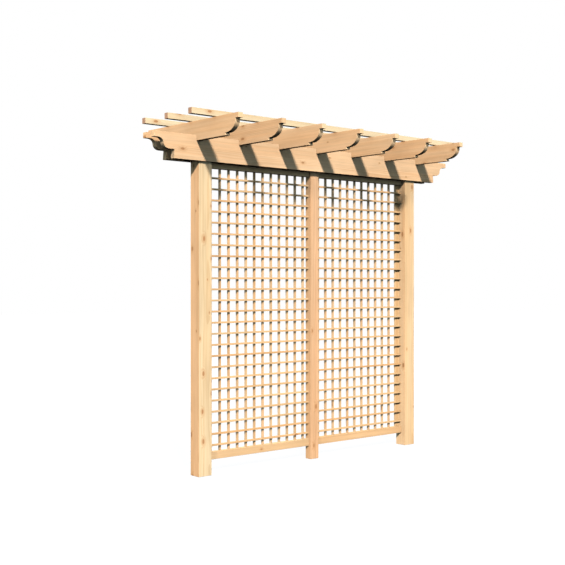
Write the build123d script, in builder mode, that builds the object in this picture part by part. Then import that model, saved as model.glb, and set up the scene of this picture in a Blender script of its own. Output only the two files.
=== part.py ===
"""Wooden pergola wall: posts, twin beams and rafters with ogee ends, purlins and two lattice bays.

Millimetres, +Z up. The origin is the centre of the middle post's foot, on the ground. X runs along
the wall, and -Y is the front.
"""
import os
from build123d import *

# Wall
wall_length = 2124.0  # over the outer faces of the two end posts
beam_underside = 2118.0  # ground to the underside of the beams

# Posts
post_width = 106.0
post_depth = 95.0
beam_housing = 19.0  # depth of the housing that each beam takes in a face of an end post
middle_post_width = 77.0

# Beams
beam_thickness = 38.0
beam_height = 168.0
beam_overhang = 208.0  # outer face of an end post to the root of the beam's shaped end
beam_end_reach = 158.0  # root of the shaped end to its nose

# Rafters
rafter_count = 7
rafter_thickness = 38.0
rafter_height = 133.0
rafter_notch = 36.0  # depth that a rafter is notched down over the beams
rafter_stand_off = 15.0  # outer face of an end post to the centre of the rafter beside it
rafter_overhang = 316.0  # outer face of a beam to the root of the rafter's shaped end
rafter_end_reach = 139.0  # root of the shaped end to its nose

# Purlins
purlin_size = 39.0
purlin_spacing = 272.0
purlin_overhang = 196.0  # outer face of the last rafter to the purlin's end

# Lattice bays
rail_height = 52.0
rail_depth = 38.0
bottom_rail_clearance = 98.0  # ground to the underside of the bottom rail
top_rail_tuck = 16.0  # how far the top rail reaches up between the beams
strip_width = 12.7
strip_thickness = 12.7
stile_width = 48.0
column_pitch = 76.2
row_pitch = 76.0
first_column_gap = 31.4  # side of the middle post to the first upright strip
first_row_gap = 58.6  # underside of the top rail to the first level strip

# Ogee ends, as shares of the end's reach and of the member's height:
# along the reach lie the toe, the end of the fillet, the waist of the S and the end of the cove,
# up the height lie the fillet, the waist and the underside of the nose.
beam_reach_shares = (0.03, 0.25, 0.54, 0.80)
beam_rise_shares = (0.355, 0.58, 0.775)
rafter_reach_shares = (0.04, 0.06, 0.78, 0.80)
rafter_rise_shares = (0.13, 0.66, 0.75)

# Places worked out from the sizes
beam_inner = post_depth / 2 - beam_housing
beam_outer = beam_inner + beam_thickness
beam_top = beam_underside + beam_height
beam_root = wall_length / 2 + beam_overhang
rafter_underside = beam_top - rafter_notch
rafter_top = rafter_underside + rafter_height
rafter_root = beam_outer + rafter_overhang
last_rafter_x = wall_length / 2 + rafter_stand_off
rafter_pitch = 2 * last_rafter_x / (rafter_count - 1)
purlin_length = 2 * last_rafter_x + rafter_thickness + 2 * purlin_overhang
bay_start = middle_post_width / 2
bay_end = wall_length / 2 - post_width
bay_width = bay_end - bay_start
bay_centre = (bay_start + bay_end) / 2
rail_y = beam_inner - rail_depth / 2
level_strip_y = beam_inner - 3 * strip_thickness / 2
upright_strip_y = beam_inner - strip_thickness / 2
bottom_rail_top = bottom_rail_clearance + rail_height
top_rail_underside = beam_underside + top_rail_tuck - rail_height
upright_length = top_rail_underside - bottom_rail_top
upright_centre = (top_rail_underside + bottom_rail_top) / 2
first_column = bay_start + first_column_gap + strip_width / 2
first_row = top_rail_underside - first_row_gap - strip_width / 2
column_count = 1 + int((bay_end - stile_width - strip_width / 2 - first_column) // column_pitch)
row_count = 1 + int((first_row - strip_width / 2 - bottom_rail_top) // row_pitch)
sides = {"left": -1, "right": 1}


def save(piece, name):
    """Labels a finished piece and writes it under its own name."""
    piece.label = name
    export_step(piece, f"parts/{name}.step")


def ogee_end(root, underside, reach, height, reach_shares, rise_shares):
    """Draws a shaped end: a leg, a fillet, an S of belly and cove, and a square nose up to the top."""
    toe, fillet, waist, lip = [root + share * reach for share in reach_shares]
    step, middle, nose = [underside + share * height for share in rise_shares]
    Polyline((toe, underside), (root, step), (fillet, step))
    EllipticalCenterArc((fillet, middle), waist - fillet, middle - step, start_angle=270, arc_size=90)
    EllipticalCenterArc((lip, middle), lip - waist, nose - middle, start_angle=90, arc_size=90)
    Polyline((lip, nose), (root + reach, nose), (root + reach, underside + height), (0, underside + height))
    return toe


os.makedirs("parts", exist_ok=True)

# End posts, housed front and back for the beams, with a tongue between them
for side, sign in sides.items():
    centre = sign * (wall_length / 2 - post_width / 2)
    with BuildPart() as end_post:
        with BuildSketch(Plane.YZ.offset(centre)) as post_side:
            with BuildLine() as post_outline:
                Polyline(
                    (0, 0),
                    (post_depth / 2, 0),
                    (post_depth / 2, beam_underside),
                    (beam_inner, beam_underside),
                    (beam_inner, rafter_underside),
                    (0, rafter_underside),
                )
                mirror(about=Plane.YZ)
            make_face()
        extrude(amount=post_width / 2, both=True)
    save(end_post.part, f"{side}_post")

# Middle post, as deep as the space between the beams
with BuildPart() as middle_post:
    with BuildSketch() as middle_foot:
        Rectangle(middle_post_width, 2 * beam_inner)
    extrude(amount=rafter_underside)
save(middle_post.part, "middle_post")

# Twin beams with ogee ends
for place, face in {"front": beam_inner, "back": -beam_outer}.items():
    with BuildPart() as beam:
        with BuildSketch(Plane.XZ.offset(face)) as beam_face:
            with BuildLine() as beam_outline:
                beam_toe = ogee_end(
                    beam_root, beam_underside, beam_end_reach, beam_height, beam_reach_shares, beam_rise_shares
                )
                Line((0, beam_underside), (beam_toe, beam_underside))
                mirror(about=Plane.YZ)
            make_face()
        extrude(amount=beam_thickness)
    save(beam.part, f"{place}_beam")

# Rafters with ogee ends, notched down over both beams
for number in range(rafter_count):
    rafter_x = number * rafter_pitch - last_rafter_x
    with BuildPart() as rafter:
        with BuildSketch(Plane.YZ.offset(rafter_x)) as rafter_face:
            with BuildLine() as rafter_outline:
                rafter_toe = ogee_end(
                    rafter_root,
                    rafter_underside,
                    rafter_end_reach,
                    rafter_height,
                    rafter_reach_shares,
                    rafter_rise_shares,
                )
                Polyline(
                    (0, rafter_underside),
                    (beam_inner, rafter_underside),
                    (beam_inner, beam_top),
                    (beam_outer, beam_top),
                    (beam_outer, rafter_underside),
                    (rafter_toe, rafter_underside),
                )
                mirror(about=Plane.YZ)
            make_face()
        extrude(amount=rafter_thickness / 2, both=True)
    save(rafter.part, f"rafter_{number + 1}")

# Purlins laid across the rafters
for place, steps in {"front": -1, "middle": 0, "back": 1}.items():
    with BuildPart() as purlin:
        with BuildSketch(Plane.XY.offset(rafter_top)) as purlin_bed:
            with Locations((0, steps * purlin_spacing)):
                Rectangle(purlin_length, purlin_size)
        extrude(amount=purlin_size)
    save(purlin.part, f"{place}_purlin")

# Lattice bays: level strips in front, fused to the upright strips that stand behind them,
# with a wide stile beside the end post
for side, sign in sides.items():
    columns = [
        (sign * (first_column + column * column_pitch), upright_strip_y, upright_centre)
        for column in range(column_count)
    ]
    rows = [(sign * bay_centre, level_strip_y, first_row - row * row_pitch) for row in range(row_count)]
    with BuildPart() as lattice:
        with Locations(*columns):
            Box(strip_width, strip_thickness, upright_length)
        with Locations(*rows):
            Box(bay_width, strip_thickness, strip_width)
    save(lattice.part, f"{side}_lattice")

    with BuildPart() as stile:
        with Locations((sign * (bay_end - stile_width / 2), upright_strip_y, upright_centre)):
            Box(stile_width, strip_thickness, upright_length)
    save(stile.part, f"{side}_stile")

    for level, underside in {"bottom": bottom_rail_clearance, "top": top_rail_underside}.items():
        with BuildPart() as rail:
            with BuildSketch(Plane.XY.offset(underside)) as rail_bed:
                with Locations((sign * bay_centre, rail_y)):
                    Rectangle(bay_width, rail_depth)
            extrude(amount=rail_height)
        save(rail.part, f"{side}_{level}_rail")
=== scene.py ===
"""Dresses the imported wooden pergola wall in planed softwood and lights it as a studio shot.

Every timber is cut again with eased edges in place of its plain solid. Each board carries its own
coordinates, so one solid wood pattern gives it grain along its length, growth rings on its ends and
knots of its own.
"""
from __future__ import annotations

import logging
import math
import zlib
from dataclasses import dataclass, field
from enum import Enum
from typing import Iterator, Sequence

import bpy
import numpy as np
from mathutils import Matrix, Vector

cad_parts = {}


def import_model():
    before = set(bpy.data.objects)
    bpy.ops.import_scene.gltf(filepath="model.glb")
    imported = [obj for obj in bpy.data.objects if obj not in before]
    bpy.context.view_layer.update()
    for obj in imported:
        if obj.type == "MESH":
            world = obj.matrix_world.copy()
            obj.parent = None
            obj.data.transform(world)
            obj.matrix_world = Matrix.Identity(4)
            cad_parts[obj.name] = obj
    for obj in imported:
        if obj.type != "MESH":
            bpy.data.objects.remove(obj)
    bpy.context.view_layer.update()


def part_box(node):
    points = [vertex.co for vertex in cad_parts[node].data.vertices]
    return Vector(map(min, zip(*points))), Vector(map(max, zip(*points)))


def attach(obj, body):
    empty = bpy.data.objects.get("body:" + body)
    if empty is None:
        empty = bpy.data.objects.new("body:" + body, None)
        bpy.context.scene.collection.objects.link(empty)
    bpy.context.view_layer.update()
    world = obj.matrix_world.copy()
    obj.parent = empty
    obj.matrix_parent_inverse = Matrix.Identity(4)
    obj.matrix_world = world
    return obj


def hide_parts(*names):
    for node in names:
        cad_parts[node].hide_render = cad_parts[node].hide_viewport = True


log = logging.getLogger("pergola")

BODY = "root"
WHITE = (1.0, 1.0, 1.0, 1.0)

# Attributes that a piece's mesh carries for its finish
BOARD = "board"  # place in the board's own frame, along and across the fibres
FLAT = "flat"  # place on one side of the board
TONE = "tone"  # the board's own lightness and blush
CUT = "cut"  # how far a face cuts across the fibres
# Share of painted light and shade: faces that look along the wall take the finish's sides colour
PAINTED_SIDE_LIGHT = "painted_side_light"  # how far a face looks along the wall
TONE_SPAN = (-1.0, 1.0)  # range of a board's own lightness and blush

# Eased edges
EASE_STEPS = 3  # chords in an eased edge
CORNER_SHARE = 1.3  # radius of an outline's corners, in radii of the eased edges
ROOM_SHARE = 0.48  # most of an edge that a rounded corner takes up
LEAST_TURN = 25.0  # smallest turn in degrees that counts as a corner
CREASE = math.radians(50.0)  # angle from which an edge is shaded sharp
TINY = 1e-9  # keeps a division away from zero

# Chords in the curves of an ogee end
BELLY_STEPS = 14
COVE_STEPS = 12

# Where in a tree a board is sawn
PITH_DISTANCE = (0.05, 0.16)  # least and greatest distance from the board's centre to the pith
PITH_LEAN = 0.8  # how far the pith may lie to one side, as a share of that distance
TREE_LENGTH = 60.0  # length of wood that boards are spread over
AXES_APART = 3.1  # distance between the patterns of a board's faces and of its edges
SIDES_APART = 7.3  # distance between the patterns of opposite sides

Colour = tuple[float, float, float]


class Section(Enum):
    """The plane of an outline and the axis that it is carried along, as axis numbers."""

    SIDE = (1, 2, 0)
    FACE = (0, 2, 1)
    PLAN = (0, 1, 2)


class Grain(Enum):
    """The axis that a board's fibres follow."""

    ALONG = 0
    ACROSS = 1
    UPRIGHT = 2


class Reach(Enum):
    """What a lamp lights: everything, the beams alone, or all but the beams."""

    ALL = ""
    BEAMS = "INCLUDE"
    OTHERS = "EXCLUDE"


def rectangle(low: Sequence[float], high: Sequence[float]) -> np.ndarray:
    """Gives the four corners of a rectangle, anticlockwise.

    Args:
        low: Lower corner in the section's plane.
        high: Upper corner in the section's plane.

    Returns:
        An array of four points.
    """
    return np.array([(low[0], low[1]), (high[0], low[1]), (high[0], high[1]), (low[0], high[1])])


def quarter(centre: Sequence[float], radii: Sequence[float], start: float, steps: int) -> np.ndarray:
    """Gives a quarter of an ellipse: centre plus radii times cosine and sine of a turning angle.

    Args:
        centre: Centre of the ellipse.
        radii: Half widths of the ellipse along both axes.
        start: Angle in degrees at which the quarter starts.
        steps: Number of chords.

    Returns:
        The points from the start through 90 degrees.
    """
    angle = np.radians(start + np.linspace(0.0, 90.0, steps + 1))
    return np.asarray(centre) + np.asarray(radii) * np.column_stack((np.cos(angle), np.sin(angle)))


def eased_outline(points: np.ndarray, radius: float, steps: int = EASE_STEPS) -> np.ndarray:
    """Rounds the sharp outer corners of a closed outline by arcs, and leaves inner corners sharp.

    An arc that turns by the angle a starts radius * tan(a / 2) before the corner. Its points are the
    arc's centre plus the radius times (sine of a share of the turn along the way in, less its cosine
    along the inward normal).

    Args:
        points: Closed outline, anticlockwise.
        radius: Radius of the arcs.
        steps: Number of chords in an arc.

    Returns:
        The rounded outline, anticlockwise.
    """
    edge = np.roll(points, -1, axis=0) - points
    length = np.linalg.norm(edge, axis=1, keepdims=True)
    way_out = edge / length
    way_in = np.roll(way_out, 1, axis=0)
    inward = np.column_stack((-way_in[:, 1], way_in[:, 0]))
    turn = np.arctan2(np.sum(inward * way_out, axis=1), np.sum(way_in * way_out, axis=1))[:, None]
    turn = np.where(turn > math.radians(LEAST_TURN), turn, 0.0)
    slope = np.tan(turn / 2)
    room = ROOM_SHARE * np.minimum(length, np.roll(length, 1, axis=0))
    start = np.minimum(radius * slope, room)
    radii = start / np.maximum(slope, TINY)
    centre = points - way_in * start + inward * radii
    share = turn * np.linspace(0.0, 1.0, steps + 1)
    reach = way_in[:, None] * np.sin(share)[..., None] - inward[:, None] * np.cos(share)[..., None]
    arcs = centre[:, None] + radii[:, None] * reach
    keep = np.repeat(turn > 0.0, steps + 1, axis=1)
    keep[:, 0] = True
    return arcs[keep]


def inset(outline: np.ndarray, distance: float) -> np.ndarray:
    """Moves a closed outline inwards: each point goes along the mitre of its two edges' normals.

    Args:
        outline: Closed outline, anticlockwise.
        distance: How far each edge moves in.

    Returns:
        The smaller outline.
    """
    edge = np.roll(outline, -1, axis=0) - outline
    edge = edge / np.linalg.norm(edge, axis=1, keepdims=True)
    after = np.column_stack((-edge[:, 1], edge[:, 0]))
    before = np.roll(after, 1, axis=0)
    mitre = (before + after) / (1.0 + np.sum(before * after, axis=1, keepdims=True))
    return outline + distance * mitre


def ogee(
    root: float, low: float, reach: float, height: float, along: Sequence[float], up: Sequence[float]
) -> np.ndarray:
    """Draws a shaped end as the maker saws it: leg, fillet, belly, cove and square nose.

    The belly and the cove are quarter ellipses that meet upright at the waist.

    Args:
        root: Place of the leg's root along the timber.
        low: Height of the timber's underside.
        reach: Length of the shaped end.
        height: Height of the timber.
        along: Shares of the reach at the toe, the fillet, the waist and the lip.
        up: Shares of the height at the fillet, the waist and the nose.

    Returns:
        The points from the toe on the underside to the top of the nose.
    """
    toe, fillet, waist, lip = root + reach * np.asarray(along)
    step, middle, nose = low + height * np.asarray(up)
    leg = [(toe, low), (root, step)]
    belly = quarter((fillet, middle), (waist - fillet, middle - step), -90.0, BELLY_STEPS)
    cove = quarter((lip, middle), (lip - waist, nose - middle), 90.0, COVE_STEPS)[::-1]
    tip = root + reach
    return np.vstack((leg, belly, cove[1:], [(tip, nose), (tip, low + height)]))


@dataclass
class Board:
    """One timber: an outline carried straight through its thickness, with eased edges.

    Attributes:
        name: Name that seeds the board's own look.
        section: Plane of the outline.
        outline: Closed outline in that plane, anticlockwise.
        start: Place of the first end along the carrying axis.
        end: Place of the last end along the carrying axis.
        grain: Axis that the fibres follow.
        ease: Radius of the eased edges.
        steps: Chords in an eased edge.
    """

    name: str
    section: Section
    outline: np.ndarray
    start: float
    end: float
    grain: Grain
    ease: float
    steps: int = EASE_STEPS

    def rings(self) -> np.ndarray:
        """Gives the outlines along the path: drawn in by a quarter round at both ends, full between.

        Returns:
            An array of rings, points and coordinates.
        """
        outline = eased_outline(self.outline, CORNER_SHARE * self.ease, self.steps)
        turn = np.linspace(0.0, math.pi / 2, self.steps + 1)
        draw_in = self.ease * (1.0 - np.sin(turn))
        level = self.ease * (1.0 - np.cos(turn))
        insets = np.concatenate((draw_in, draw_in[::-1]))
        levels = np.concatenate((self.start + level, self.end - level[::-1]))
        flat = np.stack([inset(outline, distance) for distance in insets])
        u, v, w = self.section.value
        points = np.empty(flat.shape[:2] + (3,))
        points[..., u] = flat[..., 0]
        points[..., v] = flat[..., 1]
        points[..., w] = levels[:, None]
        return points

    def faces(self, ring_count: int, point_count: int) -> list[tuple[int, ...]]:
        """Gives quads between the rings and a cap on each end, all pointing outwards.

        Args:
            ring_count: Number of rings.
            point_count: Number of points in a ring.

        Returns:
            The faces as point numbers.
        """
        ring, point = np.meshgrid(np.arange(ring_count - 1), np.arange(point_count), indexing="ij")
        here = ring * point_count + point
        beside = ring * point_count + (point + 1) % point_count
        quads = np.stack((here, beside, beside + point_count, here + point_count), axis=-1).reshape(-1, 4)
        first = np.arange(point_count)[::-1]
        last = (ring_count - 1) * point_count + np.arange(point_count)
        if self.section is Section.FACE:
            quads, first, last = quads[:, ::-1], first[::-1], last[::-1]
        return [tuple(face) for face in quads.tolist()] + [tuple(first.tolist()), tuple(last.tolist())]

    def coordinates(self, points: np.ndarray) -> np.ndarray:
        """Gives each point in the board's own frame: along the fibres, then across them from the pith.

        Args:
            points: Points in the shared frame.

        Returns:
            The same points along and across the fibres, moved to a part of the wood of their own.
        """
        draw = np.random.default_rng(zlib.crc32(self.name.encode()))
        along = self.grain.value
        across = [axis for axis in range(3) if axis != along]
        centre = (points.min(axis=0) + points.max(axis=0)) / 2
        distance = draw.uniform(*PITH_DISTANCE)
        pith = distance * np.array((draw.uniform(-PITH_LEAN, PITH_LEAN), draw.choice((-1.0, 1.0))))
        shifted = points - centre
        along_tree = shifted[:, along] + draw.uniform(0.0, TREE_LENGTH)
        return np.column_stack((along_tree, shifted[:, across] - pith))

    def tones(self) -> np.ndarray:
        """Gives three numbers, of which the first two are the board's own lightness and blush."""
        return np.random.default_rng(zlib.crc32(self.name.encode()) + 1).uniform(*TONE_SPAN, 3)


def flat_places(
    faces: Sequence[tuple[int, ...]], normals: np.ndarray, along: np.ndarray, own: np.ndarray
) -> np.ndarray:
    """Gives each corner of each face a place on its own side of the board.

    Args:
        faces: Faces as point numbers.
        normals: Directions of the faces.
        along: Axis of the fibres for each face.
        own: The points in the board's own frame, along and across the fibres.

    Returns:
        Places along the fibres and across the face, far apart for the four sides of a board.
    """
    # The two axes across each axis of fibres
    across = np.array([[1, 2], [0, 2], [0, 1]])[along]
    leaning = np.take_along_axis(normals, across, axis=1)
    facing = np.argmax(np.abs(leaning), axis=1)
    side = AXES_APART * facing + SIDES_APART * np.sign(leaning[np.arange(len(facing)), facing])
    face = np.repeat(np.arange(len(faces)), [len(corners) for corners in faces])
    point = np.concatenate([np.array(corners) for corners in faces])
    return np.column_stack((own[point, 0] + side[face], own[point, 2 - facing[face]], np.zeros(len(point))))


def give_vectors(mesh: bpy.types.Mesh, name: str, domain: str, vectors: np.ndarray) -> None:
    """Adds an attribute of one vector for each point or corner of a mesh."""
    mesh.attributes.new(name, "FLOAT_VECTOR", domain).data.foreach_set("vector", vectors.ravel())


def give_values(mesh: bpy.types.Mesh, name: str, values: np.ndarray) -> None:
    """Adds an attribute of one number for each face of a mesh."""
    mesh.attributes.new(name, "FLOAT", "FACE").data.foreach_set("value", values)


def lay_mesh(name: str, boards: Sequence[Board], material: bpy.types.Material) -> bpy.types.Object:
    """Joins boards into one mesh object that holds what their finish reads.

    Args:
        name: Name of the piece.
        boards: The boards that the piece is made of.
        material: Finish of all of them.

    Returns:
        The new object, at the origin.
    """
    points, faces, coordinates, tones, along = [], [], [], [], []
    count = 0
    for board in boards:
        rings = board.rings()
        flat = rings.reshape(-1, 3)
        own = board.faces(rings.shape[0], rings.shape[1])
        faces += [tuple(index + count for index in face) for face in own]
        points.append(flat)
        coordinates.append(board.coordinates(flat))
        tones.append(np.broadcast_to(board.tones(), flat.shape))
        along += [board.grain.value] * len(own)
        count += len(flat)
    mesh = bpy.data.meshes.new(name)
    mesh.from_pydata(np.vstack(points).tolist(), [], faces)
    give_vectors(mesh, BOARD, "POINT", np.vstack(coordinates))
    give_vectors(mesh, TONE, "POINT", np.vstack(tones))
    normals = np.empty(3 * len(mesh.polygons))
    mesh.polygons.foreach_get("normal", normals)
    normals = normals.reshape(-1, 3)
    give_values(mesh, CUT, np.abs(normals[np.arange(len(along)), along]))
    # How far each face looks along the wall, which sets its share of the painted side light
    give_values(mesh, PAINTED_SIDE_LIGHT, np.abs(normals[:, 0]))
    give_vectors(mesh, FLAT, "CORNER", flat_places(faces, normals, np.array(along), np.vstack(coordinates)))
    mesh.polygons.foreach_set("use_smooth", np.ones(len(mesh.polygons), dtype=bool))
    mesh.set_sharp_from_angle(angle=CREASE)
    mesh.materials.append(material)
    piece = bpy.data.objects.new(name, mesh)
    piece.modifiers.new("flat_faces", "WEIGHTED_NORMAL").keep_sharp = True
    bpy.context.scene.collection.objects.link(piece)
    return piece


class Graph:
    """Lays nodes in the tree of a material or of the world and links them by their sockets."""

    def __init__(self, owner: bpy.types.Material | bpy.types.World) -> None:
        """Empties the owner's tree and keeps it.

        Args:
            owner: The material or the world to fill.
        """
        owner.use_nodes = True
        self.tree = owner.node_tree
        self.tree.nodes.clear()

    def node(self, kind: str, inputs: dict | None = None, **settings: object) -> bpy.types.Node:
        """Adds a node, sets it and feeds its inputs.

        Args:
            kind: Blender's type of node.
            inputs: Input name or number to a socket or a value.
            **settings: Properties of the node.

        Returns:
            The new node.
        """
        new = self.tree.nodes.new(kind)
        for key, value in settings.items():
            setattr(new, key, value)
        for key, value in (inputs or {}).items():
            if isinstance(value, bpy.types.NodeSocket):
                self.tree.links.new(value, new.inputs[key])
            else:
                new.inputs[key].default_value = value
        return new

    def attribute(self, name: str) -> bpy.types.Node:
        """Adds a node that reads one of the piece's own attributes."""
        return self.node("ShaderNodeAttribute", attribute_name=name, attribute_type="GEOMETRY")

    def math(self, operation: str, *values: object) -> bpy.types.NodeSocket:
        """Adds a sum on numbers and gives its result."""
        return self.node("ShaderNodeMath", dict(enumerate(values)), operation=operation).outputs[0]

    def vector(self, operation: str, *vectors: object) -> bpy.types.Node:
        """Adds a sum on vectors."""
        return self.node("ShaderNodeVectorMath", dict(enumerate(vectors)), operation=operation)

    def scaled(self, vector: object, scale: Sequence[float]) -> bpy.types.NodeSocket:
        """Stretches a vector along its three axes."""
        return self.vector("MULTIPLY", vector, tuple(scale)).outputs[0]

    def length(self, vector: object) -> bpy.types.NodeSocket:
        """Gives the length of a vector."""
        return self.vector("LENGTH", vector).outputs["Value"]

    def ramp(
        self, value: object, span: Sequence[float], result: Sequence[float] = (0.0, 1.0)
    ) -> bpy.types.NodeSocket:
        """Eases a number from one range into another."""
        settings = dict(enumerate((value, *span, *result)))
        return self.node("ShaderNodeMapRange", settings, interpolation_type="SMOOTHSTEP").outputs[0]

    def blend(
        self, share: object, first: object, second: object, mode: str = "MIX"
    ) -> bpy.types.NodeSocket:
        """Mixes two colours by a share.

        Args:
            share: How much of the second colour there is.
            first: First colour.
            second: Second colour.
            mode: How the second colour works on the first.

        Returns:
            The mixed colour.
        """
        mix = self.node("ShaderNodeMix", data_type="RGBA", blend_type=mode)
        # The node has sockets for each kind of value, and takes colours at 6 and 7.
        for socket, value in ((mix.inputs[0], share), (mix.inputs[6], first), (mix.inputs[7], second)):
            if isinstance(value, bpy.types.NodeSocket):
                self.tree.links.new(value, socket)
            else:
                socket.default_value = value if isinstance(value, float) else (*value, 1.0)
        return mix.outputs[2]


@dataclass(frozen=True)
class Cloud:
    """A cloud of noise over a board, and what it does to the wood.

    Attributes:
        scale: Spots in a metre, along the fibres and both ways across them.
        span: Values of the cloud between which its effect eases in.
        effect: What it gives at the ends of that span.
        detail: Number of finer layers.
        coarseness: Strength of each finer layer, as a share of the one before.
    """

    scale: tuple[float, float, float]
    span: tuple[float, float] = (0.0, 1.0)
    effect: tuple[float, float] = (0.0, 1.0)
    detail: float = 2.0
    coarseness: float = 0.55

    def values(self, graph: Graph, board: bpy.types.NodeSocket) -> bpy.types.NodeSocket:
        """Gives the cloud itself, from 0 to 1.

        Args:
            graph: Tree to work in.
            board: Places in the board's own frame.

        Returns:
            The cloud's value.
        """
        place = graph.scaled(board, self.scale)
        settings = {"Vector": place, "Scale": 1.0, "Detail": self.detail, "Roughness": self.coarseness}
        return graph.node("ShaderNodeTexNoise", settings).outputs[0]

    def effects(self, graph: Graph, board: bpy.types.NodeSocket) -> bpy.types.NodeSocket:
        """Gives what the cloud does to the wood."""
        return graph.ramp(self.values(graph, board), self.span, self.effect)


FIBRES = Cloud((7.0, 420.0, 420.0), (0.25, 0.75), (0.93, 1.05), detail=3.0)
MOTTLE = Cloud((2.2, 7.0, 7.0), (0.3, 0.7), (0.93, 1.06))
BANDS = Cloud((0.7, 48.0, 48.0), (0.32, 0.68), (0.95, 1.05))
STREAKS = Cloud((0.45, 17.0, 17.0), (0.36, 0.70))
WANDER = Cloud((0.9, 9.0, 9.0))


@dataclass(frozen=True)
class WoodFinish:
    """Planed softwood: growth rings, streaks, fibres, knots, tinted end cuts and painted light on side
    faces.

    Attributes:
        slot: Name of the material.
        wood: Colour of the pale spring wood.
        sides: Colour of the pale spring wood on faces that look along the wall, as painted light and shade
            set for how light falls on them.
        late: Tint of the darker summer wood.
        late_share: How much of that tint the darkest part of a ring gets.
        late_span: Share of a ring's width over which the summer wood darkens.
        streak: Tint of the broad warm streaks.
        streak_share: How much of that tint the streaks get.
        blush: Tint of the pinkest boards.
        variety: How much of the blush the pinkest boards get.
        lightness: What the darkest and the palest boards are multiplied by.
        end: Tint of the end cuts; below 1 it is the darker end grain, above 1 it is painted light.
        end_span: How far a face cuts across the fibres where that tint eases in.
        ring_width: Distance from one growth ring to the next.
        ring_wander: How far the rings wander along a board.
        ring_swell: How far the rings bend round a knot.
        knot: Colour of a knot's core.
        knot_share: How much of that colour the core gets.
        knot_span: Distances in knot radii between which the core eases in.
        halo: Colour of the wood round a knot.
        halo_share: How much of that colour the halo gets.
        halo_span: Distances in knot radii between which the halo eases in.
        knot_chance: Share of the places for a knot that hold one.
        knot_spacing: Distances between places for knots, along and across the fibres.
        knot_scatter: How far knots stray from an even grid.
        knot_size: Half width of the largest knots.
        knot_least: Size of the smallest knots, as a share of the largest.
        knot_stretch: Length of a knot, in widths.
        roughness: Roughness between the fibres and on them.
        rough_span: Values of the fibres between which the roughness changes.
        relief: Strength of the raised grain.
        relief_height: Height of the raised grain.
    """

    slot: str
    wood: Colour
    sides: Colour
    late: Colour = (0.80, 0.69, 0.60)
    late_share: float = 0.46
    late_span: tuple[float, float] = (0.25, 0.95)
    streak: Colour = (0.96, 0.87, 0.77)
    streak_share: float = 0.80
    blush: Colour = (1.0, 0.86, 0.76)
    variety: float = 0.30
    lightness: tuple[float, float] = (0.97, 1.03)
    end: Colour = (0.95, 0.95, 0.95)
    end_span: tuple[float, float] = (0.25, 1.0)
    ring_width: float = 0.0065
    ring_wander: float = 0.030
    ring_swell: float = 0.010
    knot: Colour = (0.47, 0.205, 0.08)
    knot_share: float = 0.85
    knot_span: tuple[float, float] = (1.15, 0.8)
    halo: Colour = (0.62, 0.30, 0.12)
    halo_share: float = 0.45
    halo_span: tuple[float, float] = (3.4, 0.7)
    knot_chance: float = 0.35
    knot_spacing: tuple[float, float] = (0.26, 0.10)
    knot_scatter: float = 0.9
    knot_size: float = 0.0095
    knot_least: float = 0.35
    knot_stretch: float = 2.0
    roughness: tuple[float, float] = (0.86, 0.74)
    rough_span: tuple[float, float] = (0.2, 0.8)
    relief: float = 0.22
    relief_height: float = 0.0008

    def knots(self, graph: Graph) -> tuple[bpy.types.NodeSocket, bpy.types.NodeSocket]:
        """Scatters knots over the sides of a board and gives how far each place is inside one.

        A place's distance from the nearest knot's centre, with its part along the fibres shortened by
        the knot's stretch, is measured in knot radii.

        Args:
            graph: Tree to work in.

        Returns:
            The share of the halo and of the core, both 0 away from knots.
        """
        along, across = self.knot_spacing
        spread = graph.scaled(graph.attribute(FLAT).outputs["Vector"], (1 / along, 1 / across, 0.0))
        settings = {"Vector": spread, "Scale": 1.0, "Randomness": self.knot_scatter}
        cells = graph.node("ShaderNodeTexVoronoi", settings, voronoi_dimensions="2D")
        offset = graph.vector("SUBTRACT", spread, cells.outputs["Position"]).outputs[0]
        distance = graph.length(graph.scaled(offset, (along / self.knot_stretch, across, 0.0)))
        draw = graph.node("ShaderNodeSeparateColor", {0: cells.outputs["Color"]})
        sizes = (self.knot_least * self.knot_size, self.knot_size)
        nearness = graph.math("DIVIDE", distance, graph.ramp(draw.outputs[1], (0.0, 1.0), sizes))
        present = graph.math("LESS_THAN", draw.outputs[0], self.knot_chance)
        halo = graph.math("MULTIPLY", graph.ramp(nearness, self.halo_span), present)
        core = graph.math("MULTIPLY", graph.ramp(nearness, self.knot_span), present)
        return halo, core

    def summer_wood(
        self, graph: Graph, board: bpy.types.NodeSocket, halo: bpy.types.NodeSocket
    ) -> bpy.types.NodeSocket:
        """Gives the summer wood of the growth rings.

        The distance from the pith, plus a slow wander and a swell round knots, is divided by the ring
        width, and the fraction left over is the place within a ring.

        Args:
            graph: Tree to work in.
            board: Places in the board's own frame.
            halo: Share of a knot's halo.

        Returns:
            The share of summer wood, from 0 to 1.
        """
        radius = graph.length(graph.scaled(board, (0.0, 1.0, 1.0)))
        wander = graph.math("MULTIPLY", WANDER.values(graph, board), self.ring_wander)
        swell = graph.math("MULTIPLY", halo, self.ring_swell)
        bent = graph.math("ADD", graph.math("ADD", radius, wander), swell)
        ring = graph.math("FRACT", graph.math("DIVIDE", bent, self.ring_width))
        return graph.ramp(ring, self.late_span)

    def material(self) -> bpy.types.Material:
        """Builds the finish as a node tree over the board's own coordinates.

        Returns:
            The new material.
        """
        material = bpy.data.materials.new(self.slot)
        graph = Graph(material)
        board = graph.attribute(BOARD).outputs["Vector"]
        tone = graph.node("ShaderNodeSeparateXYZ", {0: graph.attribute(TONE).outputs["Vector"]})
        halo, core = self.knots(graph)
        late = self.summer_wood(graph, board, halo)
        fibre = FIBRES.values(graph, board)

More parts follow.
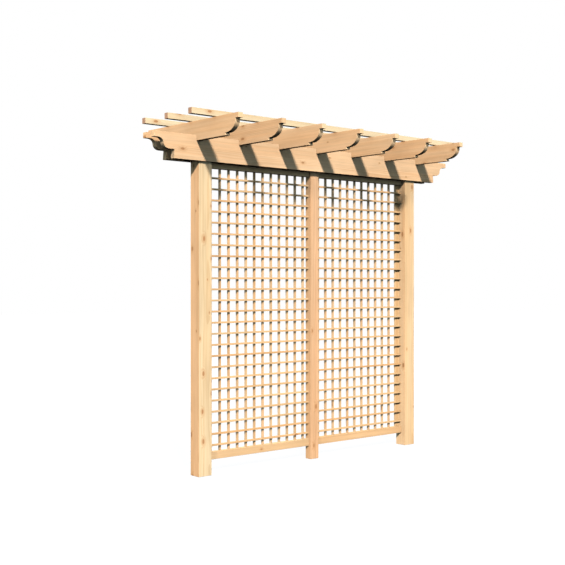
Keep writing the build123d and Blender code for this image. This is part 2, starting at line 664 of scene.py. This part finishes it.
        tints = (
            (self.late, graph.math("MULTIPLY", late, self.late_share)),
            (self.streak, graph.math("MULTIPLY", STREAKS.effects(graph, board), self.streak_share)),
            (self.blush, graph.ramp(tone.outputs[1], TONE_SPAN, (0.0, self.variety))),
            (self.end, graph.ramp(graph.attribute(CUT).outputs["Fac"], self.end_span)),
        )
        # Painted light and shade: faces that look along the wall take the sides colour, set for how the
        # lamps fall on them
        colour = graph.blend(graph.attribute(PAINTED_SIDE_LIGHT).outputs["Fac"], self.wood, self.sides)
        for tint, share in tints:
            colour = graph.blend(share, colour, tint, "MULTIPLY")

        value = graph.ramp(fibre, FIBRES.span, FIBRES.effect)
        for cloud in (MOTTLE, BANDS):
            value = graph.math("MULTIPLY", value, cloud.effects(graph, board))
        value = graph.math("MULTIPLY", value, graph.ramp(tone.outputs[0], TONE_SPAN, self.lightness))
        grey = graph.node("ShaderNodeCombineColor", {0: value, 1: value, 2: value}).outputs[0]
        colour = graph.blend(1.0, colour, grey, "MULTIPLY")
        colour = graph.blend(graph.math("MULTIPLY", halo, self.halo_share), colour, self.halo)
        colour = graph.blend(graph.math("MULTIPLY", core, self.knot_share), colour, self.knot)

        height = graph.math("MULTIPLY", graph.math("ADD", fibre, late), 0.5)
        bump = {"Height": height, "Strength": self.relief, "Distance": self.relief_height}
        settings = {
            "Base Color": colour,
            "Roughness": graph.ramp(fibre, self.rough_span, self.roughness),
            "Normal": graph.node("ShaderNodeBump", bump).outputs[0],
            "Specular IOR Level": 0.0,
        }
        shader = graph.node("ShaderNodeBsdfPrincipled", settings)
        graph.node("ShaderNodeOutputMaterial", {"Surface": shader.outputs[0]})
        return material


@dataclass
class Timbers:
    """A sub-assembly of timbers that share a finish and each stand for one solid of the frame.

    Attributes:
        finish: Wood that they are made of.
        ease: Radius of their eased edges.
        throws_shadow: Whether they shade what lies behind them.
    """

    finish: WoodFinish
    ease: float = 0.0010
    throws_shadow: bool = True

    def boards(self) -> Iterator[tuple[str, list[Board]]]:
        """Gives each node's name with the boards that stand for it."""
        raise NotImplementedError

    def build(self) -> list[bpy.types.Object]:
        """Lays every piece, dresses it and sets it in the place of its solid.

        Returns:
            The new pieces.
        """
        material = self.finish.material()
        pieces = []
        for node, boards in self.boards():
            piece = lay_mesh(f"{node}_timber", boards, material)
            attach(piece, BODY)
            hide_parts(node)
            piece.visible_shadow = self.throws_shadow
            pieces.append(piece)
        return pieces

    def bar(self, name: str, low: Sequence[float], high: Sequence[float], grain: Grain) -> Board:
        """Gives a plain bar: its section carried along its fibres.

        Args:
            name: Name that seeds the bar's look.
            low: Lowest corner of the bar.
            high: Highest corner of the bar.
            grain: Axis that the bar runs along.

        Returns:
            The bar as a board.
        """
        section = next(plane for plane in Section if plane.value[-1] == grain.value)
        u, v, w = section.value
        outline = rectangle((low[u], low[v]), (high[u], high[v]))
        return Board(name, section, outline, low[w], high[w], grain, self.ease)


@dataclass
class Posts(Timbers):
    """End posts, housed front and back for the beams.

    Attributes:
        nodes: The posts' nodes.
        beam: Node of the beam that lies in the front housing.
    """

    nodes: tuple[str, ...] = ()
    beam: str = "front_beam"

    def boards(self) -> Iterator[tuple[str, list[Board]]]:
        """Gives each post as one outline, with a tongue that stands up between the beams.

        Returns:
            Each node's name with its one board.
        """
        beam_low, beam_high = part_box(self.beam)
        for node in self.nodes:
            low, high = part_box(node)
            inner, shoulder = -beam_high[1], beam_low[2]
            outline = np.array(
                [
                    (low[1], low[2]),
                    (high[1], low[2]),
                    (high[1], shoulder),
                    (inner, shoulder),
                    (inner, high[2]),
                    (-inner, high[2]),
                    (-inner, shoulder),
                    (low[1], shoulder),
                ]
            )
            yield node, [Board(node, Section.SIDE, outline, low[0], high[0], Grain.UPRIGHT, self.ease)]


@dataclass
class Beams(Timbers):
    """Twin beams with ogee ends.

    Attributes:
        nodes: The beams' nodes.
        end_reach: Length of a shaped end.
        along_shares: Shares of that length at the toe, the fillet, the waist and the lip.
        up_shares: Shares of the height at the fillet, the waist and the nose.
    """

    nodes: tuple[str, ...] = ("front_beam", "back_beam")
    end_reach: float = 0.158
    along_shares: tuple[float, ...] = (0.03, 0.25, 0.54, 0.80)
    up_shares: tuple[float, ...] = (0.355, 0.58, 0.775)

    def boards(self) -> Iterator[tuple[str, list[Board]]]:
        """Gives each beam as one outline: a shaped end and its mirror image.

        Returns:
            Each node's name with its one board.
        """
        for node in self.nodes:
            low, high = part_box(node)
            root = high[0] - self.end_reach
            right = ogee(root, low[2], self.end_reach, high[2] - low[2], self.along_shares, self.up_shares)
            outline = np.vstack((right, right[::-1] * (-1.0, 1.0)))
            yield node, [Board(node, Section.FACE, outline, low[1], high[1], Grain.ALONG, self.ease)]


@dataclass
class Rafters(Timbers):
    """Rafters with ogee ends, notched down over both beams.

    Attributes:
        count: Number of rafters.
        end_reach: Length of a shaped end.
        along_shares: Shares of that length at the toe, the fillet, the waist and the lip.
        up_shares: Shares of the height at the fillet, the waist and the nose.
        beam: Node of the front beam, which the notches fit.
    """

    count: int = 7
    end_reach: float = 0.139
    along_shares: tuple[float, ...] = (0.04, 0.06, 0.78, 0.80)
    up_shares: tuple[float, ...] = (0.13, 0.66, 0.75)
    beam: str = "front_beam"

    def boards(self) -> Iterator[tuple[str, list[Board]]]:
        """Gives each rafter as one outline: half of the notched underside, a shaped end, and mirrored.

        Returns:
            Each node's name with its one board.
        """
        beam_low, beam_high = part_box(self.beam)
        inner, outer, seat = -beam_high[1], -beam_low[1], beam_high[2]
        for number in range(1, self.count + 1):
            node = f"rafter_{number}"
            low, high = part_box(node)
            root = high[1] - self.end_reach
            end = ogee(root, low[2], self.end_reach, high[2] - low[2], self.along_shares, self.up_shares)
            notch = [(inner, low[2]), (inner, seat), (outer, seat), (outer, low[2])]
            half = np.vstack((notch, end))
            outline = np.vstack((half, half[::-1] * (-1.0, 1.0)))
            yield node, [Board(node, Section.SIDE, outline, low[0], high[0], Grain.ACROSS, self.ease)]


@dataclass
class Bars(Timbers):
    """Plain square-sawn timbers that run one way.

    Attributes:
        nodes: The timbers' nodes.
        grain: Axis that they run along.
    """

    nodes: tuple[str, ...] = ()
    grain: Grain = Grain.ALONG

    def boards(self) -> Iterator[tuple[str, list[Board]]]:
        """Gives each timber as one bar that fills its box."""
        for node in self.nodes:
            yield node, [self.bar(node, *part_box(node), self.grain)]


@dataclass
class Lattices(Timbers):
    """Lattice bays: level strips in front of upright strips, and a wide stile beside each end post.

    Attributes:
        sides: Sides of the middle post, with the sign of their place.
        strip_width: Width of a strip as seen from the front.
        strip_thickness: Depth of a strip from front to back.
        column_pitch: Distance from one upright strip to the next.
        row_pitch: Distance from one level strip to the next.
        first_column_gap: Side of the middle post to the first upright strip.
        first_row_gap: Underside of the top rail to the first level strip.
    """

    ease: float = 0.0004
    sides: dict[str, int] = field(default_factory=lambda: {"left": -1, "right": 1})
    strip_width: float = 0.0127
    strip_thickness: float = 0.016
    column_pitch: float = 0.0762
    row_pitch: float = 0.076
    first_column_gap: float = 0.0314
    first_row_gap: float = 0.0586

    def boards(self) -> Iterator[tuple[str, list[Board]]]:
        """Gives each bay's strips, set out from the middle post and from the top rail, and its stile.

        Returns:
            The names of a bay's lattice and stile, each with its boards.
        """
        for side, sign in self.sides.items():
            node, stile = f"{side}_lattice", f"{side}_stile"
            low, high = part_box(node)
            inner = min(abs(low[0]), abs(high[0]))
            outer = min(abs(corner[0]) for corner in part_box(stile))
            half = self.strip_width / 2
            middle_y = high[1] - self.strip_thickness
            front_y = middle_y - self.strip_thickness
            columns = np.arange(inner + self.first_column_gap + half, outer - half, self.column_pitch)
            rows = np.arange(high[2] - self.first_row_gap - half, low[2] + half, -self.row_pitch)
            strips = [
                self.bar(
                    f"{node}_upright_{number}",
                    (sign * x - half, middle_y, low[2]),
                    (sign * x + half, high[1], high[2]),
                    Grain.UPRIGHT,
                )
                for number, x in enumerate(columns)
            ]
            strips += [
                self.bar(
                    f"{node}_level_{number}",
                    (low[0], front_y, z - half),
                    (high[0], middle_y, z + half),
                    Grain.ALONG,
                )
                for number, z in enumerate(rows)
            ]
            yield node, strips
            yield stile, [self.bar(stile, *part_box(stile), Grain.UPRIGHT)]


@dataclass(frozen=True)
class Lamp:
    """A far lamp with soft edges.

    Attributes:
        name: Name of the lamp.
        travel: Direction in which its light goes.
        strength: Light on a surface that faces it, before colour.
        softness: Apparent width in degrees.
        colour: Tint of the light.
        reach: Pieces that the lamp lights. All pieces throw its shadows.
    """

    name: str
    travel: tuple[float, float, float]
    strength: float
    softness: float
    colour: Colour = (1.0, 1.0, 1.0)
    reach: Reach = Reach.ALL

    def build(self, beams: Sequence[bpy.types.Object]) -> bpy.types.Object:
        """Hangs the lamp.

        Args:
            beams: The beams' pieces.

        Returns:
            The lamp's object.
        """
        data = bpy.data.lights.new(self.name, "SUN")
        data.energy = self.strength
        data.angle = math.radians(self.softness)
        data.color = self.colour
        lamp = bpy.data.objects.new(self.name, data)
        x, y, z = np.asarray(self.travel) / np.linalg.norm(self.travel)
        lamp.rotation_euler = (math.acos(-z), 0.0, math.atan2(-x, y))
        bpy.context.scene.collection.objects.link(lamp)
        if self.reach is not Reach.ALL:
            linked = bpy.data.collections.new(f"{self.name}_linked")
            for piece in beams:
                linked.objects.link(piece)
            for entry in linked.collection_objects:
                entry.light_linking.link_state = self.reach.value
            lamp.light_linking.receiver_collection = linked
        return lamp


@dataclass
class Studio:
    """Pale floor, white surround, soft lamps and the camera at the photograph's place.

    Attributes:
        floor_size: Width of the floor.
        shadow_share: How much of the floor's look is light and shadow.
        floor_bounce: How pale the floor is to light that goes on from it.
        fill: Strength of the light from all round.
        fill_colour: Tint of the light from all round.
        bounces: How often light goes on from a dull surface to the next.
        camera_place: Place of the camera.
        camera_yaw: Turn of the camera from straight ahead, to the right.
        sensor_width: Width of the camera's picture in millimetres.
        lens: Focal length in millimetres.
        lift: Vertical shift of the picture.
        lamps: The lamps.
    """

    floor_size: float = 60.0
    shadow_share: float = 0.07
    floor_bounce: float = 0.012
    fill: float = 0.68
    fill_colour: Colour = (0.54, 0.79, 1.0)
    bounces: int = 0
    camera_place: tuple[float, float, float] = (-4.963, -5.513, 1.317)
    camera_yaw: float = 40.3
    sensor_width: float = 36.0
    lens: float = 63.7
    lift: float = -0.0034
    lamps: tuple[Lamp, ...] = (
        Lamp("key", (0.49, 1.0, -0.87), 4.05, 5.0),
        Lamp("side_key", (2.0, 1.0, -0.87), 1.2, 5.0, (1.0, 0.92, 0.82), Reach.OTHERS),
        Lamp("end_key", (1.0, 0.0, -0.87), 1.9, 5.0, (1.0, 0.92, 0.82), Reach.BEAMS),
        Lamp("back_fill", (-0.45, -1.0, -0.75), 2.7, 50.0),
    )

    @staticmethod
    def seen(graph: Graph) -> bpy.types.NodeSocket:
        """Tells rays that look, straight, by mirror or through glass, from other light.

        Args:
            graph: Tree to work in.

        Returns:
            1 for rays that look, and 0 for other light.
        """
        path = graph.node("ShaderNodeLightPath")
        looks = graph.math("MAXIMUM", path.outputs["Is Camera Ray"], path.outputs["Is Glossy Ray"])
        return graph.math("MAXIMUM", looks, path.outputs["Is Transmission Ray"])

    @staticmethod
    def mixed(graph: Graph, share: object, first: bpy.types.Node, second: bpy.types.Node) -> bpy.types.Node:
        """Mixes two shaders by the share of the second."""
        return graph.node("ShaderNodeMixShader", {0: share, 1: first.outputs[0], 2: second.outputs[0]})

    def build_floor(self) -> bpy.types.Object:
        """Lays a pale floor that is white to the eye and keeps a faint shadow.

        Returns:
            The floor.
        """
        half = self.floor_size / 2
        corners = rectangle((-half, -half), (half, half))
        mesh = bpy.data.meshes.new("floor")
        mesh.from_pydata([(x, y, 0.0) for x, y in corners.tolist()], [], [(0, 1, 2, 3)])
        material = bpy.data.materials.new("floor_paper")
        graph = Graph(material)
        shade = graph.node("ShaderNodeBsdfDiffuse", {"Color": WHITE})
        glow = graph.node("ShaderNodeEmission", {"Color": WHITE, "Strength": 1.0})
        paper = self.mixed(graph, self.shadow_share, glow, shade)
        bounce = graph.node("ShaderNodeBsdfDiffuse", {"Color": (*[self.floor_bounce] * 3, 1.0)})
        both = self.mixed(graph, self.seen(graph), bounce, paper)
        graph.node("ShaderNodeOutputMaterial", {"Surface": both.outputs[0]})
        mesh.materials.append(material)
        floor = bpy.data.objects.new("floor", mesh)
        bpy.context.scene.collection.objects.link(floor)
        return floor

    def build_surround(self) -> None:
        """Gives a white background and an even fill light."""
        world = bpy.data.worlds.new("surround")
        bpy.context.scene.world = world
        graph = Graph(world)
        settings = {"Color": (*self.fill_colour, 1.0), "Strength": self.fill}
        fill = graph.node("ShaderNodeBackground", settings)
        white = graph.node("ShaderNodeBackground", {"Color": WHITE, "Strength": 1.0})
        both = self.mixed(graph, self.seen(graph), fill, white)
        graph.node("ShaderNodeOutputWorld", {"Surface": both.outputs[0]})

    def build_camera(self) -> bpy.types.Object:
        """Sets a level camera at the photograph's angle.

        Returns:
            The camera.
        """
        data = bpy.data.cameras.new("camera")
        data.sensor_width = self.sensor_width
        data.lens = self.lens
        data.shift_y = self.lift
        camera = bpy.data.objects.new("camera", data)
        camera.location = self.camera_place
        camera.rotation_euler = (math.pi / 2, 0.0, -math.radians(self.camera_yaw))
        bpy.context.scene.collection.objects.link(camera)
        bpy.context.scene.camera = camera
        return camera

    def build(self, beams: Sequence[bpy.types.Object]) -> None:
        """Builds the floor, the surround, the lamps and the camera.

        Args:
            beams: The beams' pieces, which some lamps single out.
        """
        self.build_floor()
        self.build_surround()
        for lamp in self.lamps:
            lamp.build(beams)
        self.build_camera()
        bpy.context.scene.view_settings.view_transform = "Standard"
        bpy.context.scene.cycles.diffuse_bounces = self.bounces


# Each finish's sides colour is painted light and shade: it is set for how the lamps fall on the faces that
# look along the wall
LEFT_POST_WOOD = WoodFinish(
    "post_wood", wood=(0.840, 0.620, 0.366), sides=(0.922, 0.550, 0.288), knot_chance=0.9
)
MIDDLE_POST_WOOD = WoodFinish("post_wood", wood=(0.825, 0.502, 0.282), sides=(0.950, 0.587, 0.325))
RIGHT_POST_WOOD = WoodFinish(
    # Paler sides: painted light on the right post's inner face
    "post_wood", wood=(0.823, 0.580, 0.332), sides=(1.000, 0.665, 0.372), knot_chance=0.75
)
BEAM_WOOD = WoodFinish("beam_wood", wood=(0.950, 0.605, 0.340), sides=(0.960, 0.640, 0.370))
RAFTER_WOOD = WoodFinish(
    "rafter_wood",
    wood=(0.890, 0.555, 0.303),
    sides=(0.890, 0.555, 0.303),
    # A tint above 1 paints light onto the rafters' front-facing noses
    end=(1.0, 1.12, 1.20),
    variety=0.15,
)
PURLIN_WOOD = WoodFinish(
    # Darker sides: painted shade on the purlins' ends, beyond the end-grain tint
    "purlin_wood", wood=(0.850, 0.655, 0.405), sides=(0.620, 0.360, 0.225), variety=0.1
)
LATTICE_WOOD = WoodFinish(
    "lattice_wood",
    wood=(0.800, 0.510, 0.260),
    # Paler sides: painted light on the strips' side faces
    sides=(0.930, 0.660, 0.400),
    knot_chance=0.15,
    variety=0.6,
)
RAIL_WOOD = WoodFinish(
    "rail_wood", wood=(0.815, 0.530, 0.285), sides=(0.815, 0.530, 0.285), knot_chance=0.2
)


def main() -> None:
    """Loads the frame, builds each sub-assembly and the studio, and logs each piece's face count."""
    logging.basicConfig(level=logging.INFO, format="%(name)s: %(message)s")
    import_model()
    rails = Bars(
        RAIL_WOOD, nodes=("left_bottom_rail", "right_bottom_rail", "left_top_rail", "right_top_rail")
    )
    purlins = Bars(PURLIN_WOOD, throws_shadow=False, nodes=("front_purlin", "middle_purlin", "back_purlin"))
    lattices = Lattices(LATTICE_WOOD)
    left_post = Posts(LEFT_POST_WOOD, nodes=("left_post",))
    middle_post = Bars(MIDDLE_POST_WOOD, nodes=("middle_post",), grain=Grain.UPRIGHT)
    right_post = Posts(RIGHT_POST_WOOD, nodes=("right_post",))
    beams = Beams(BEAM_WOOD).build()
    pieces = list(beams)
    rafters = Rafters(RAFTER_WOOD)
    for group in (left_post, middle_post, right_post, rafters, purlins, lattices, rails):
        pieces += group.build()
    for piece in pieces:
        log.info("%s has %d faces", piece.name, len(piece.data.polygons))
    Studio().build(beams)


if __name__ == "__main__":
    main()
